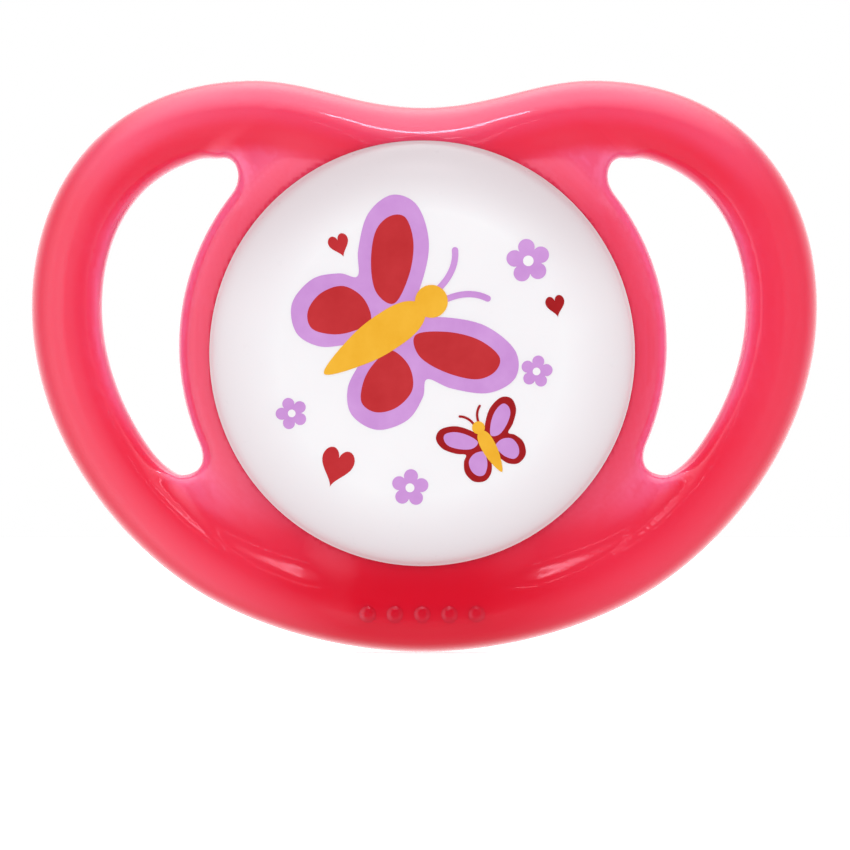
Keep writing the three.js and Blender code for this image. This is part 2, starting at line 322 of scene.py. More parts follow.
def bump(nodes, links, source, shader, distance, strength=1.0):
    made = nodes.new("ShaderNodeBump")
    made.inputs["Distance"].default_value = distance
    made.inputs["Strength"].default_value = strength
    links.new(source, made.inputs["Height"])
    links.new(made.outputs["Normal"], shader.inputs["Normal"])


def pink_material():
    material, nodes, links, shader = new_material("pink_soft_plastic")
    flow = noise(nodes, links, 55, 4, 0.6)
    plain = ramp(nodes, links, flow.outputs["Fac"], [
        (0.25, srgb(240, 46, 74)),
        (0.5, srgb(242, 49, 77)),
        (0.8, srgb(244, 53, 81)),
    ])
    # painted backlight glow: where little plastic lies front to back, the pink is painted paler, as if lit
    # through from behind
    painted_light_share = nodes.new("ShaderNodeAttribute")
    painted_light_share.attribute_name = "painted_light_share"
    with_painted_glow = mix(nodes, links, painted_light_share.outputs["Fac"], plain, srgb(255, 106, 150))
    # painted shade: low in the middle, below the cover, which shadows it, the pink is painted a deeper red
    place = nodes.new("ShaderNodeTexCoord")
    split = nodes.new("ShaderNodeSeparateXYZ")
    links.new(place.outputs["Object"], split.inputs[0])
    aside = nodes.new("ShaderNodeMath")
    aside.operation = "ABSOLUTE"
    links.new(split.outputs["X"], aside.inputs[0])
    middle = map_range(nodes, links, aside.outputs[0], (0.003, 0.017), (1.0, 0.0), "SMOOTHSTEP")
    lower = map_range(nodes, links, split.outputs["Z"], (-0.0125, -0.0175), (0.0, 1.0), "SMOOTHSTEP")
    deep = product(nodes, links, middle, lower)
    links.new(mix(nodes, links, deep, with_painted_glow, srgb(225, 16, 42)), shader.inputs["Base Color"])
    fine = noise(nodes, links, 900, 3)
    links.new(spread(nodes, links, fine.outputs["Fac"], 0.07, 0.11), shader.inputs["Roughness"])
    shader.inputs["Subsurface Weight"].default_value = 0.35
    shader.inputs["Subsurface Radius"].default_value = (1.0, 0.22, 0.28)
    shader.inputs["Subsurface Scale"].default_value = 0.0025
    shader.inputs["Specular Tint"].default_value = (1.0, 0.72, 0.92, 1)
    skin = noise(nodes, links, 420, 2)
    bump(nodes, links, skin.outputs["Fac"], shader, 0.00001, 0.5)
    return material


def white_material():
    material, nodes, links, shader = new_material("white_cover_plastic")
    cloud = noise(nodes, links, 70, 3)
    plain = ramp(nodes, links, cloud.outputs["Fac"], [
        (0.3, srgb(247, 243, 247)),
        (0.7, srgb(251, 248, 251)),
    ])
    # painted shade: the cover is painted greyer towards its edge, where the shoulder curves away, most of
    # all at the top
    place = nodes.new("ShaderNodeTexCoord")
    flat = nodes.new("ShaderNodeVectorMath")
    flat.operation = "MULTIPLY"
    flat.inputs[1].default_value = (1, 0, 1)
    links.new(place.outputs["Object"], flat.inputs[0])
    radius = nodes.new("ShaderNodeVectorMath")
    radius.operation = "LENGTH"
    links.new(flat.outputs[0], radius.inputs[0])
    painted_light_share = map_range(nodes, links, radius.outputs["Value"], (0.0105, 0.0154), (0.0, 1.0))
    with_painted_edge_shade = mix(nodes, links, painted_light_share, plain, srgb(234, 224, 228))
    split = nodes.new("ShaderNodeSeparateXYZ")
    links.new(place.outputs["Object"], split.inputs[0])
    # the painted edge shade is darker again along the top
    upper = map_range(nodes, links, split.outputs["Z"], (0.002, 0.014), (0.0, 1.0), "SMOOTHSTEP")
    both = product(nodes, links, painted_light_share, upper)
    links.new(mix(nodes, links, both, with_painted_edge_shade, srgb(212, 201, 205)), shader.inputs["Base Color"])
    fine = noise(nodes, links, 1500, 3)
    links.new(spread(nodes, links, fine.outputs["Fac"], 0.27, 0.35), shader.inputs["Roughness"])
    shader.inputs["Specular IOR Level"].default_value = 0.13
    shader.inputs["Subsurface Weight"].default_value = 0.15
    shader.inputs["Subsurface Radius"].default_value = (1.0, 0.8, 0.8)
    shader.inputs["Subsurface Scale"].default_value = 0.001
    bump(nodes, links, fine.outputs["Fac"], shader, 0.000003, 0.3)
    return material


def plug_material():
    material, nodes, links, shader = new_material("natural_plug_plastic")
    cloud = noise(nodes, links, 160, 4)
    links.new(ramp(nodes, links, cloud.outputs["Fac"], [
        (0.3, srgb(236, 232, 228)),
        (0.7, srgb(245, 242, 239)),
    ]), shader.inputs["Base Color"])
    links.new(spread(nodes, links, cloud.outputs["Fac"], 0.35, 0.48), shader.inputs["Roughness"])
    shader.inputs["Subsurface Weight"].default_value = 0.2
    shader.inputs["Subsurface Scale"].default_value = 0.001
    return material


def silicone_material():
    material, nodes, links, shader = new_material("clear_silicone")
    cloud = noise(nodes, links, 120, 3)
    links.new(ramp(nodes, links, cloud.outputs["Fac"], [
        (0.3, srgb(217, 213, 203)),
        (0.7, srgb(226, 223, 214)),
    ]), shader.inputs["Base Color"])
    fine = noise(nodes, links, 1100, 3)
    links.new(spread(nodes, links, fine.outputs["Fac"], 0.27, 0.35), shader.inputs["Roughness"])
    shader.inputs["IOR"].default_value = 1.41
    shader.inputs["Specular IOR Level"].default_value = 0.35
    shader.inputs["Transmission Weight"].default_value = 0.45
    shader.inputs["Subsurface Weight"].default_value = 0.1
    shader.inputs["Subsurface Scale"].default_value = 0.002
    bump(nodes, links, fine.outputs["Fac"], shader, 0.000003, 0.5)
    return material


def ink_material(name, dark, light):
    material, nodes, links, shader = new_material(name)
    cloud = noise(nodes, links, 350, 4, 0.6)
    links.new(ramp(nodes, links, cloud.outputs["Fac"], [(0.3, dark), (0.7, light)]),
              shader.inputs["Base Color"])
    fine = noise(nodes, links, 2600, 2)
    links.new(spread(nodes, links, fine.outputs["Fac"], 0.3, 0.42), shader.inputs["Roughness"])
    shader.inputs["Specular IOR Level"].default_value = 0.22
    bump(nodes, links, fine.outputs["Fac"], shader, 0.000004, 0.5)
    return material


# ---- mesh helpers ----
def object_from(name, points, faces, material, body, sharp_above=None, corner_normals=None):
    mesh = bpy.data.meshes.new(name)
    mesh.from_pydata((np.asarray(points) * MM).tolist(), [], [tuple(f) for f in faces])
    mesh.update()
    mesh.polygons.foreach_set("use_smooth", [True] * len(mesh.polygons))
    if sharp_above is not None:
        work = bmesh.new()
        work.from_mesh(mesh)
        limit = math.radians(sharp_above)
        for edge in work.edges:
            if len(edge.link_faces) == 2 and edge.calc_face_angle(0) > limit:
                edge.smooth = False
        work.to_mesh(mesh)
        work.free()
    if corner_normals is not None:
        mesh.normals_split_custom_set(np.asarray(corner_normals).tolist())
    mesh.materials.append(material)
    made = bpy.data.objects.new(name, mesh)
    scene.collection.objects.link(made)
    if body is not None:
        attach(made, body)
    return made


def cubic(p0, p1, p2, p3, steps):
    t = np.linspace(0, 1, steps + 1)[:, None]
    p0, p1, p2, p3 = (np.asarray(p, float) for p in (p0, p1, p2, p3))
    return (1 - t) ** 3 * p0 + 3 * (1 - t) ** 2 * t * p1 + 3 * (1 - t) * t ** 2 * p2 + t ** 3 * p3


def arc(r, y, radius, start, end, steps):
    a = np.radians(np.linspace(start, end, steps + 1))
    return np.stack([r + radius * np.cos(a), y + radius * np.sin(a)], 1)


def revolve(profile, segments, shape=None):
    """Points and faces of a profile of (radius, y) rows turned round the Y axis."""
    profile = np.asarray(profile, float)
    count = len(profile)
    points, index = [], np.zeros((count, segments), int)
    for i, (r, y) in enumerate(profile):
        if r < 1e-6:
            index[i, :] = len(points)
            points.append((0.0, y, 0.0))
            continue
        for j in range(segments):
            a = 2 * math.pi * j / segments
            index[i, j] = len(points)
            points.append((r * math.sin(a), y, r * math.cos(a)))
    faces = []
    for i in range(count - 1):
        for j in range(segments):
            m = (j + 1) % segments
            ring = [index[i, j], index[i + 1, j], index[i + 1, m], index[i, m]]
            face = [v for n, v in enumerate(ring) if v != ring[n - 1]]
            if len(face) > 2:
                faces.append(face)
    points = np.array(points)
    if shape is not None:
        points = shape(points)
    return points, faces


# ---- shield ----
def outline_loop(steps):
    cx, cz = math.cos(FLANK_SLOPE), math.sin(FLANK_SLOPE)
    flank = (FLANK_X, FLANK_Z)
    curves = [
        ((0, BOTTOM_Z), (5.97, BOTTOM_Z), (FLANK_X - 5.87 * cx, FLANK_Z - 5.87 * cz), flank),
        (flank, (FLANK_X + 7.3 * cx, FLANK_Z + 7.3 * cz), (SIDE_X, SIDE_Z - 8.54), (SIDE_X, SIDE_Z)),
        ((SIDE_X, SIDE_Z), (SIDE_X, SIDE_Z + 9.07), (LOBE_X + 10.89, LOBE_Z), (LOBE_X, LOBE_Z)),
        ((LOBE_X, LOBE_Z), (LOBE_X - 4.17, LOBE_Z), (4.85, DIP_Z), (0, DIP_Z)),
    ]
    right = np.concatenate([cubic(*c, steps)[:-1] for c in curves])
    left = right[1:][::-1] * (-1, 1)
    return np.concatenate([right, [(0, DIP_Z)], left])


def crescent_loop(steps):
    def on_hub(a):
        return np.array((HUB_R * math.cos(a), HUB_Z + HUB_R * math.sin(a)))

    def along(a):
        return np.array((-math.sin(a), math.cos(a)))
    top, side, low = (TIP_TOP_X, TIP_TOP_Z), (OPEN_X, OPEN_Z), (TIP_LOW_X, TIP_LOW_Z)
    start, end = on_hub(HUB_START), on_hub(HUB_END)
    angles = np.linspace(HUB_START, HUB_END, steps + 1)
    hub_arc = np.stack([HUB_R * np.cos(angles), HUB_Z + HUB_R * np.sin(angles)], 1)
    parts = [
        cubic(top, (TIP_TOP_X + 5.47, TIP_TOP_Z), (OPEN_X, OPEN_Z + 6.2), side, steps),
        cubic(side, (OPEN_X, OPEN_Z - 6.73), (TIP_LOW_X + 1.12, TIP_LOW_Z), low, steps),
        cubic(low, (TIP_LOW_X - 1.56, TIP_LOW_Z), start - 1.68 * along(HUB_START), start, steps),
        hub_arc,
        cubic(end, end + 1.71 * along(HUB_END), (TIP_TOP_X - 0.81, TIP_TOP_Z), top, steps),
    ]
    return np.concatenate([p[:-1] for p in parts])


def distance_inside(loop, x, z):
    """Distance to a closed loop, above zero inside it."""
    best = np.full(x.shape, 1e9)
    inside = np.zeros(x.shape, bool)
    for (ax, az), (bx, bz) in zip(loop, np.roll(loop, -1, axis=0)):
        ex, ez = bx - ax, bz - az
        length = ex * ex + ez * ez
        if length < 1e-12:
            continue
        t = np.clip(((x - ax) * ex + (z - az) * ez) / length, 0, 1)
        best = np.minimum(best, (x - ax - t * ex) ** 2 + (z - az - t * ez) ** 2)
        if az != bz:
            crosses = (az > z) != (bz > z)
            inside ^= crosses & (x < ax + (z - az) * ex / ez)
    best = np.sqrt(best)
    return np.where(inside, best, -best)


class Plan:
    """Distances to the outline and the opening on a fine grid of the right half."""
    step = 0.15
    low_x, low_z = -0.45, -23.4

    def __init__(self):
        xs = np.arange(self.low_x, 30.8, self.step)
        zs = np.arange(self.low_z, 21.6, self.step)
        x, z = np.meshgrid(xs, zs, indexing="ij")
        self.outer = distance_inside(outline_loop(44), x, z)
        self.hole = -distance_inside(crescent_loop(26), x, z)

    def read(self, x, z):
        u = (np.abs(x) - self.low_x) / self.step
        w = (z - self.low_z) / self.step
        i = np.clip(np.floor(u).astype(int), 0, self.outer.shape[0] - 2)
        k = np.clip(np.floor(w).astype(int), 0, self.outer.shape[1] - 2)
        u, w = u - i, w - k
        found = []
        for grid in (self.outer, self.hole):
            low = grid[i, k] * (1 - u) + grid[i + 1, k] * u
            high = grid[i, k + 1] * (1 - u) + grid[i + 1, k + 1] * u
            found.append(low * (1 - w) + high * w)
        return found


def soft_min(a, b, k):
    h = np.maximum(k - np.abs(a - b), 0) / k
    return np.minimum(a, b) - h * h * k / 4


def soft_max(a, b, k):
    return -soft_min(-a, -b, k)


def rounded(a, b, radius):
    """Where two slabs meet, with a rounded edge."""
    inner = np.minimum(np.maximum(a + radius, b + radius), 0)
    return inner + np.hypot(np.maximum(a + radius, 0), np.maximum(b + radius, 0)) - radius


def smooth_step(t):
    t = np.clip(t, 0, 1)
    return t * t * (3 - 2 * t)


def shield_solid(plan, x, y, z):
    """The moulding before the seat and the bore are cut."""
    outer, hole = plan.read(x, z)
    bend = x * x / (2 * WRAP_R) + z * z / (2 * TILT_R)
    across = np.abs((outer - RIM_W / 2) / (RIM_W / 2))
    deep = np.abs((y - bend - RIM_MID) / RIM_HALF)
    rim = ((across ** RIM_POWER + deep ** RIM_POWER) ** (1 / RIM_POWER) - 1) * RIM_W / 2
    # the hub's front falls away from the lip round the cover, and is nearly level with the rim below
    r = np.hypot(x, z)
    away = 1 - soft_max(1 - (r - SEAT_R) / LIP_REACH, 0, 0.3)
    ridge = RIDGE_MIDDLE + (RIDGE_SIDE - RIDGE_MIDDLE) * smooth_step(
        (np.abs(x) - RIDGE_START) / (RIDGE_END - RIDGE_START))
    below_rim = RIM_MID - RIM_HALF + bend + ridge
    level = smooth_step((z - LEVEL_START) / (LEVEL_END - LEVEL_START))
    near = (1 - level) * LIP_Y + level * (below_rim + RIDGE_RISE)
    far = (1 - level) * (HUB_FRONT + HUB_WRAP * bend) + level * below_rim
    front = near + (far - near) * away
    back = HUB_BACK + HUB_WRAP * bend
    across = np.maximum(-hole, HUB_INSET - outer)
    hub = rounded(across, np.maximum(front - y, y - back), HUB_ROUND)
    # past its own circle the plate shrinks, so that it stays inside the rim's round section
    hub = hub + PLATE_SHRINK * smooth_step((np.hypot(x, z - HUB_Z) - PLATE_R) / PLATE_FADE)
    solid = soft_min(rim, hub, FILLET_HUB)
    collar = rounded(r - COLLAR_R, np.abs(y - HUB_BACK) - (COLLAR_Y - HUB_BACK), COLLAR_ROUND)
    return soft_min(solid, collar, FILLET_COLLAR)


def shield_field(plan, x, y, z):
    """The moulding with its seat, which widens into a groove for the cover's bead, and its bore."""
    r = np.hypot(x, z)
    seat = SEAT_R + (GROOVE_R - SEAT_R) * smooth_step((y - GROOVE_Y) / 0.15)
    # crisp down in the seat and softer at its front edge
    edge = 0.05 + 0.2 * smooth_step((5.2 - y) / 0.6)
    solid = soft_max(shield_solid(plan, x, y, z), -np.maximum(r - seat, y - SEAT_FLOOR), edge)
    bore = BORE_R + np.maximum(y - FLARE_Y, 0) * FLARE
    return soft_max(solid, bore - r, 0.35)


def painted_glow_share(plan, x, z):
    """Share of painted light at a place: painted backlight glow, 1 where little plastic lies front to back
    and 0 at the rim's middle, plus painted top light on the lobes.
    """
    slice_y = 0.25
    inside = sum((shield_solid(plan, x, np.full(x.shape, y), z) < 0).astype(float)
                 for y in np.arange(2.0, 14.5, slice_y))
    painted_glow = np.clip(np.exp((PAINTED_GLOW_WALL - inside * slice_y) / PAINTED_GLOW_FADE), 0, 1)
    outer = plan.read(x, z)[0]
    plate = smooth_step((outer - 3.2) / 2.0) * smooth_step((-8.5 - z) / 5.0)
    painted_glow = painted_glow * (1 - plate) * (0.12 + 0.88 * smooth_step((outer - 1.2) / 2.4))
    # the painted glow stays on the rim's inner edge beside the openings' middles only, and painted top
    # light lightens the lobes' tops a little
    inner_rim = 1 - smooth_step((outer - 4.4) / 1.2)
    painted_glow = painted_glow * (1 - inner_rim * smooth_step((np.abs(z - 3.0) - 5.0) / 6.0))
    return painted_glow + 0.32 * smooth_step((z - 10.0) / 6.0) * (1 - smooth_step((outer - 2.2) / 1.4))


def surface(field, slope, low, high, step):
    """Dual contouring: one vertex in each cell that the surface crosses, set on the planes of its
    crossings so that edges stay crisp, and one quad across each crossed grid edge."""
    axes = [np.arange(low[i], high[i], step) for i in range(3)]
    values = field(*np.meshgrid(*axes, indexing="ij"))
    shape = np.array(values.shape) - 1
    crossings, rings = [], []
    for axis in range(3):
        first, second = [slice(None)] * 3, [slice(None)] * 3
        first[axis], second[axis] = slice(0, -1), slice(1, None)
        a, b = values[tuple(first)], values[tuple(second)]
        edges = np.argwhere((a < 0) != (b < 0))
        a, b = a[tuple(edges.T)], b[tuple(edges.T)]
        place = edges.astype(float)
        place[:, axis] += a / (a - b)
        crossings.append(place * step + low)
        u, w = (axis + 1) % 3, (axis + 2) % 3
        ring = []
        for du, dw in ((-1, -1), (0, -1), (0, 0), (-1, 0)):
            cell = edges.copy()
            cell[:, u] += du
            cell[:, w] += dw
            ring.append(np.ravel_multi_index(cell.T, shape))
        ring = np.stack(ring, 1)
        ring[a >= 0] = ring[a >= 0][:, ::-1]
        rings.append(ring)
    crossings, rings = np.concatenate(crossings), np.concatenate(rings)
    normals = slope(crossings, 0.02)
    cells, faces = np.unique(rings, return_inverse=True)
    faces = faces.reshape(rings.shape)
    count = len(cells)
    owner = faces.ravel()
    place, normal = np.repeat(crossings, 4, axis=0), np.repeat(normals, 4, axis=0)

    def total(weight):
        return np.bincount(owner, weight, count)
    hits = total(None)
    middle = np.stack([total(place[:, i]) for i in range(3)], 1) / hits[:, None]
    offset = ((place - middle[owner]) * normal).sum(1)
    matrix = np.zeros((count, 3, 3))
    target = np.zeros((count, 3))
    for i in range(3):
        target[:, i] = total(normal[:, i] * offset)
        for k in range(3):
            matrix[:, i, k] = total(normal[:, i] * normal[:, k])
    matrix += np.eye(3) * (0.04 * hits)[:, None, None]
    move = np.linalg.solve(matrix, target[:, :, None])[:, :, 0]
    reach = np.linalg.norm(move, axis=1, keepdims=True)
    return middle + move * np.minimum(1, 0.8 * step / np.maximum(reach, 1e-9)), faces


def make_shield(material, plan):
    step = CELL

    def field(x, y, z):
        return shield_field(plan, x, y, z)

    def raw_slope(points, small):
        x, y, z = points.T
        return np.stack([
            field(x + small, y, z) - field(x - small, y, z),
            field(x, y + small, z) - field(x, y - small, z),
            field(x, y, z + small) - field(x, y, z - small),
        ], 1) / (2 * small)

    def slope(points, small):
        found = raw_slope(points, small)
        return found / np.maximum(np.linalg.norm(found, axis=1, keepdims=True), 1e-6)
    points, faces = surface(field, slope, GRID_LOW, GRID_HIGH, step)
    for _ in range(2):
        found = raw_slope(points, 0.02)
        size = np.maximum((found ** 2).sum(1), 0.2)
        points = points - np.clip(field(*points.T) / size, -0.1, 0.1)[:, None] * found
    # smooth normals, except at a crisp edge, where each face takes the field's beside it
    middle = points[faces].mean(1)
    at_vertex = slope(points, 0.06)[faces]
    corners = points[faces] * 0.7 + middle[:, None, :] * 0.3
    beside = slope(corners.reshape(-1, 3), 0.04).reshape(corners.shape)
    crisp = (at_vertex * beside).sum(2) < math.cos(math.radians(18))
    normals = np.where(crisp[:, :, None], beside, at_vertex).reshape(-1, 3)
    made = object_from("shield_moulding", points, faces, material, "shield_body",
                       corner_normals=normals)
    # each point's share of painted backlight glow and painted top light, read by the pink material
    painted_light_share = made.data.attributes.new("painted_light_share", "FLOAT", "POINT")
    painted_light_share.data.foreach_set("value", painted_glow_share(plan, points[:, 0], points[:, 2]))
    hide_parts("shield")


DOT_COUNT, DOT_PITCH, DOT_Z = 5, 2.0, -19.15
DOT_R, DOT_H = 0.68, 0.13


def make_dots(material, plan):
    """Five low domes in a row on the rim's front, each following the rim under it."""
    points, faces = [], []
    rings, around = 10, 32
    for place in range(DOT_COUNT):
        dot_x = (place - (DOT_COUNT - 1) / 2) * DOT_PITCH
        x, z, lift = [dot_x], [DOT_Z], [1.0]
        for i in range(1, rings + 1):
            share = i / rings
            for k in range(around):
                a = 2 * math.pi * k / around
                x.append(dot_x + DOT_R * share * math.cos(a))
                z.append(DOT_Z + DOT_R * share * math.sin(a))
                lift.append(float(1 - smooth_step((share - 0.35) / 0.65)))
        x, z, lift = np.array(x), np.array(z), np.array(lift)
        # the rim's front surface, found by halving the range that it lies in
        low, high = np.full(x.shape, 2.0), np.full(x.shape, 5.5)
        for _ in range(24):
            middle = (low + high) / 2
            outside = shield_field(plan, x, middle, z) > 0
            low, high = np.where(outside, middle, low), np.where(outside, high, middle)
        base = len(points)
        count = len(x)
        for y in (high - DOT_H * lift + 0.01, high + 0.3):
            points += np.stack([x, y, z], 1).tolist()
        top = [[base, base + 1 + k, base + 1 + (k + 1) % around] for k in range(around)]
        for i in range(rings - 1):
            a, b = base + 1 + i * around, base + 1 + (i + 1) * around
            top += [[a + k, b + k, b + (k + 1) % around, a + (k + 1) % around] for k in range(around)]
        faces += top + [[v + count for v in face][::-1] for face in top]
        edge = base + 1 + (rings - 1) * around
        for k in range(around):
            a, b = edge + k, edge + (k + 1) % around
            faces.append([b, a, a + count, b + count])
    object_from("shield_dots", points, faces, material, "shield_body", sharp_above=50)


# ---- front cover ----
def shoulder(steps):
    return cubic((COVER_FLAT_R, 0), (COVER_FLAT_R + 2.6, 0), (COVER_R, 1.5), (COVER_R, COVER_EDGE_Y), steps)


SHOULDER = shoulder(60)


def cover_y(r):
    """Height of the cover's front surface at a radius."""
    return float(np.interp(r, SHOULDER[:, 0], SHOULDER[:, 1])) if r > COVER_FLAT_R else 0.0


def make_cover(material):
    inner = COVER_R - COVER_WALL
    face = COVER_FACE_WALL
    front = [(0, 0)] + [(r, 0) for r in np.linspace(1.2, COVER_FLAT_R, 9)]
    curve = [tuple(point) for point in shoulder(26)[1:-1]]
    profile = front + curve + [
        (COVER_R + 0.08, COVER_EDGE_Y - 0.08), (COVER_R + 0.12, COVER_EDGE_Y),
        (COVER_R + 0.08, COVER_EDGE_Y + 0.08), (COVER_R, COVER_EDGE_Y + 0.12),
        (COVER_R, 4.2), (COVER_R, 5.4), (COVER_R, 6.1),
        (COVER_R + 0.16, 6.22), (COVER_R + 0.16, 6.34), (COVER_R, 6.5),
        (COVER_R - 0.18, COVER_BACK), (inner + 0.15, COVER_BACK), (inner, COVER_BACK - 0.15),
        (inner, 5.4), (inner, 4.4),
    ]
    profile += list(map(tuple, cubic((inner, 4.0), (inner, 2.2), (12.2, face), (10.2, face), 10)))
    profile += [(r, face) for r in (7, 4, 2, 0)]
    points, faces = revolve(profile, 144)
    made = object_from("cover_button", points, faces, material, "shield_body", sharp_above=50)
    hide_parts("front_cover")


# ---- printed pattern ----
PRINT_STEP = 0.012  # each ink layer's height over the one below
PRINT_SINK = 0.03
PRINT_CELL = 0.6


def print_on_cover(name, loops, layer, material):
    """Closed flat loops of (x, z), each made a thin slab of ink that follows the cover."""
    points, faces = [], []
    for loop in loops:
        loop = np.asarray(loop, float)
        low, high = loop.min(0), loop.max(0)
        cells = [np.arange(low[i], high[i], PRINT_CELL) for i in range(2)]
        grid = np.stack(np.meshgrid(*cells), -1).reshape(-1, 2)
        if len(grid):
            grid = grid[distance_inside(loop, grid[:, 0], grid[:, 1]) > PRINT_CELL * 0.4]
        given = np.concatenate([loop, grid]) if len(grid) else loop
        edges = [(i, (i + 1) % len(loop)) for i in range(len(loop))]
        flat, _, top, *_ = delaunay_2d_cdt([Vector(p) for p in given.tolist()], edges, [], 1, 1e-5)
        ahead = [(b - a).cross(c - a) for a, b, c in ([flat[i] for i in face[:3]] for face in top)]
        top = [list(face) if turn > 0 else list(face)[::-1] for face, turn in zip(top, ahead)]
        base, count = len(points), len(flat)
        for lift in (-(layer + 1) * PRINT_STEP, PRINT_SINK):
            points += [(v.x, cover_y(math.hypot(v.x, v.y)) + lift, v.y) for v in flat]
        used = {(face[i - 1], face[i]) for face in top for i in range(len(face))}
        faces += [[base + v for v in face] for face in top]
        faces += [[base + count + v for v in face][::-1] for face in top]
        faces += [[base + b, base + a, base + count + a, base + count + b]
                  for a, b in used if (b, a) not in used]
    object_from(name, points, faces, material, "shield_body", sharp_above=30)


def placed(loop, x, z, turn, scale=1.0, mirror=False):
    loop = np.asarray(loop, float) * scale
    if mirror:
        loop = loop * (-1, 1)
    a = math.radians(turn)
    c, s = math.cos(a), math.sin(a)
    return np.stack([x + loop[:, 0] * c - loop[:, 1] * s, z + loop[:, 0] * s + loop[:, 1] * c], 1)


def smooth_loop(points, steps=10):
    """A closed smooth curve through a few points."""
    p = np.asarray(points, float)
    made = []
    for i in range(len(p)):
        a, b, c, d = p[i - 1], p[i], p[(i + 1) % len(p)], p[(i + 2) % len(p)]
        made.append(cubic(b, b + (c - a) / 6, c - (d - b) / 6, c, steps)[:-1])
    return np.concatenate(made)


def circle(x, z, radius, steps=28):
    a = np.linspace(0, 2 * math.pi, steps, endpoint=False)
    return np.stack([x + radius * np.cos(a), z + radius * np.sin(a)], 1)


def stroke(points, width, steps=10):
    """A line of even width with round ends along a cubic curve."""
    line = cubic(*points, steps)
    ahead = np.gradient(line, axis=0)
    ahead /= np.linalg.norm(ahead, axis=1)[:, None]
    side = np.stack([-ahead[:, 1], ahead[:, 0]], 1) * width / 2

    def cap(centre, direction):
        start = math.atan2(direction[1], direction[0])
        a = np.linspace(start - math.pi / 2, start + math.pi / 2, 7)[1:-1]
        return centre + np.stack([np.cos(a), np.sin(a)], 1) * width / 2
    return np.concatenate([line - side, cap(line[-1], ahead[-1]), (line + side)[::-1],
                           cap(line[0], -ahead[0])])


def flower_loop(size):
    """Five round petals."""
    petal, reach = 0.375, 0.625
    turn = np.radians(np.linspace(-35.9, 35.9, 19))
    r = reach * np.cos(turn) + np.sqrt(np.maximum(petal ** 2 - (reach * np.sin(turn)) ** 2, 0))
    a = np.concatenate([turn + 2 * math.pi * i / 5 for i in range(5)])
    r = np.tile(r, 5) * size
    return np.stack([r * np.sin(a), r * np.cos(a)], 1)[::-1]


def heart_loop(width, height):
    t = np.linspace(0, 2 * math.pi, 48, endpoint=False)
    x = np.sin(t) ** 3
    z = (13 * np.cos(t) - 5 * np.cos(2 * t) - 2 * np.cos(3 * t) - np.cos(4 * t)) / 14.5 + 0.1
    return np.stack([x * width / 2, z * height / 2], 1)


# A plain butterfly seen from above, head towards +z; only the right wings are listed.
WINGS = [(0.3, 1.9), (1.5, 4.2), (3.9, 6.6), (6.9, 7.5), (8.7, 6.3), (8.5, 3.9), (6.6, 1.7), (4.9, 0.5),
         (5.9, -0.6), (6.7, -2.6), (6.0, -5.0), (3.9, -6.0), (2.0, -5.1), (0.9, -3.2), (0.3, -1.6)]
FORE_PANEL = [(1.5, 1.7), (2.7, 3.9), (4.6, 5.6), (6.6, 6.2), (7.4, 5.2), (7.0, 3.6), (5.1, 1.9),
              (3.0, 1.0)]
HIND_PANEL = [(1.4, -0.6), (3.2, -0.1), (4.9, -0.9), (5.4, -2.7), (4.8, -4.3), (3.5, -4.8), (2.2, -3.7),
              (1.5, -2.2)]


def butterfly(name, x, z, turn, scale, inks):
    outer, inner, body = inks

    def both(loop):
        return [placed(loop, x, z, turn, scale), placed(loop, x, z, turn, scale, mirror=True)]
    print_on_cover(name + "_wings", both(smooth_loop(WINGS)), 0, outer)
    panels = both(smooth_loop(FORE_PANEL)) + both(smooth_loop(HIND_PANEL))
    print_on_cover(name + "_panels", panels, 1, inner)
    trunk = smooth_loop([(0, 3.6), (1.1, 2.6), (1.5, 0.6), (1.25, -2.6), (0, -6.0),
                         (-1.25, -2.6), (-1.5, 0.6), (-1.1, 2.6)])
    print_on_cover(name + "_body", [placed(trunk, x, z, turn, scale)], 2, body)
    print_on_cover(name + "_head", [placed(circle(0, 4.2, 1.3), x, z, turn, scale)], 3, body)
    feeler = stroke([(0.5, 5.2), (0.7, 6.3), (1.2, 7.4), (2.3, 8.0)], 0.5)
    print_on_cover(name + "_feelers", both(feeler), 1, outer)


def make_prints(inks):
    lilac, red, dark_red, yellow, white = inks
    butterfly("print_big_butterfly", -2.5, 1.6, -56, 0.93, (lilac, red, yellow))
    butterfly("print_small_butterfly", 4.9, -6.8, 28, 0.36, (dark_red, lilac, yellow))
    flowers = [
        (7.84, 6.75, 1.62, 8),
        (8.44, -1.35, 1.18, -10),
        (-9.49, -4.42, 1.18, 20),
        (-0.83, -9.87, 1.37, -5),
    ]
    for i, (x, z, size, turn) in enumerate(flowers):
        print_on_cover(f"print_flower_{i + 1}", [placed(flower_loop(size), x, z, turn)], 0, lilac)
        print_on_cover(f"print_flower_{i + 1}_eye", [circle(x, z, size * 0.24)], 1, white)
    hearts = [
        (-6.0, 7.9, 1.5, 1.7, 20, red),
        (9.84, 3.46, 1.4, 1.6, 12, dark_red),
        (-6.23, -8.33, 2.4, 2.9, -18, red),
    ]
    for i, (x, z, width, height, turn, ink) in enumerate(hearts):
        print_on_cover(f"print_heart_{i + 1}", [placed(heart_loop(width, height), x, z, turn)], 0, ink)


# ---- plug and nipple ----
def make_plug(material):
    profile = [(0, 1.9), (4, 1.9), (7.4, 1.9), (7.85, 2.05), (8.0, 2.4), (8.0, 3.8), (7.9, 4.1), (7.6, 4.2),
               (3.6, 4.2), (3.38, 4.3), (3.3, 4.5), (3.3, 7.5), (3.3, 9.9)]
    profile += list(map(tuple, arc(2.4, 10.1, 0.9, 0, 90, 6))) + [(0, 11.0)]
    points, faces = revolve(profile, 64)
    made = object_from("plug_moulding", points, faces, material, "shield_body", sharp_above=50)
    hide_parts("retaining_plug")


def flatten(points):
    share = 1 - FLATTEN * smooth_step((points[:, 1] - FLATTEN_START) / FLATTEN_OVER)
    return points * np.stack([np.ones_like(share), np.ones_like(share), share], 1)


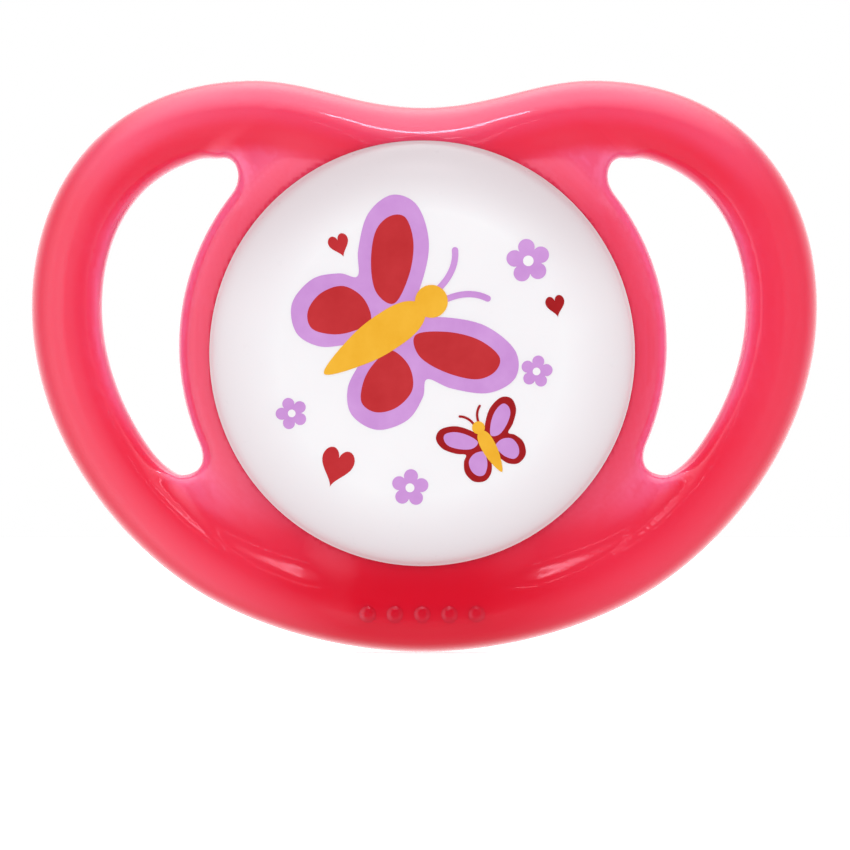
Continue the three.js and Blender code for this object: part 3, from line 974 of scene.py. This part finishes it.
def make_nipple(material):
    inner = NECK_R - WALL
    root = [
        (3.6, 9.0), (3.6, 4.7), (3.75, 4.5), (8.6, 4.5), (8.9, 4.62), (9.0, 4.9), (9.0, 6.2), (8.9, 6.5),
        (8.6, 6.6), (5.6, 6.6), (5.38, 6.7), (5.3, 6.95), (5.3, 8.0), (5.3, 9.2), (5.3, 10.1),
    ]
    root += list(map(tuple, cubic((5.3, 10.35), (5.75, 10.6), (5.75, 11.25), (5.25, 11.45), 8)))
    root += list(map(tuple, cubic((5.05, 11.6), (4.8, 11.9), (NECK_R, 12.3), (NECK_R, 13.2), 6)))
    root += [(NECK_R, y) for y in np.linspace(13.4, SEAM_Y, 10)]
    back = [(inner, y) for y in np.linspace(SEAM_Y, 12.4, 12)] + [(inner + 0.1, 12.0), (inner + 0.35, 11.6),
                                                               (3.6, 11.2), (3.6, 10.2)]
    bulb_out = [(NECK_R, y) for y in np.linspace(SEAM_Y, 19.6, 12)]
    out_side, out_tip = (BULB_R, BULB_MID), (0, TIP_Y)
    in_side, in_tip = (BULB_R - WALL, BULB_MID), (0, TIP_Y - WALL)
    bulb_out += list(map(tuple, cubic((NECK_R, 19.9), (NECK_R, 22.6), (BULB_R, 23.4), out_side, 20)))
    bulb_out += list(map(tuple, cubic(out_side, (BULB_R, 33.4), (5.2, TIP_Y), out_tip, 24)[1:]))
    bulb_in = list(map(tuple, cubic(in_tip, (4.2, in_tip[1]), (in_side[0], 32.6), in_side, 18)))
    bulb_in += list(map(tuple, cubic(in_side, (in_side[0], 24.2), (inner, 23.4), (inner, 19.9), 16)[1:]))
    bulb_in += [(inner, y) for y in np.linspace(19.6, SEAM_Y, 12)]
    segments = 96
    points, faces = revolve(back + root, segments)
    neck = object_from("nipple_root_skin", points, faces, material, None)
    points, faces = revolve(bulb_out + bulb_in, segments, flatten)
    bulb = object_from("nipple_bulb_skin", points, faces, material, None)
    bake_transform(neck)
    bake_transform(bulb)
    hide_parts("nipple_base", "nipple_neck")
    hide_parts("nipple_bulb")


make_camera()
make_light()
make_floor()
pink = pink_material()
plan_view = Plan()
make_shield(pink, plan_view)
make_dots(pink, plan_view)
make_cover(white_material())
make_prints([
    ink_material("ink_lilac", srgb(202, 142, 214), srgb(213, 157, 224)),
    ink_material("ink_red", srgb(192, 34, 40), srgb(203, 46, 52)),
    ink_material("ink_dark_red", srgb(160, 6, 14), srgb(174, 14, 22)),
    ink_material("ink_yellow", srgb(242, 176, 34), srgb(250, 190, 54)),
    ink_material("ink_white", srgb(245, 242, 244), srgb(250, 248, 250)),
])
make_plug(plug_material())
make_nipple(silicone_material())
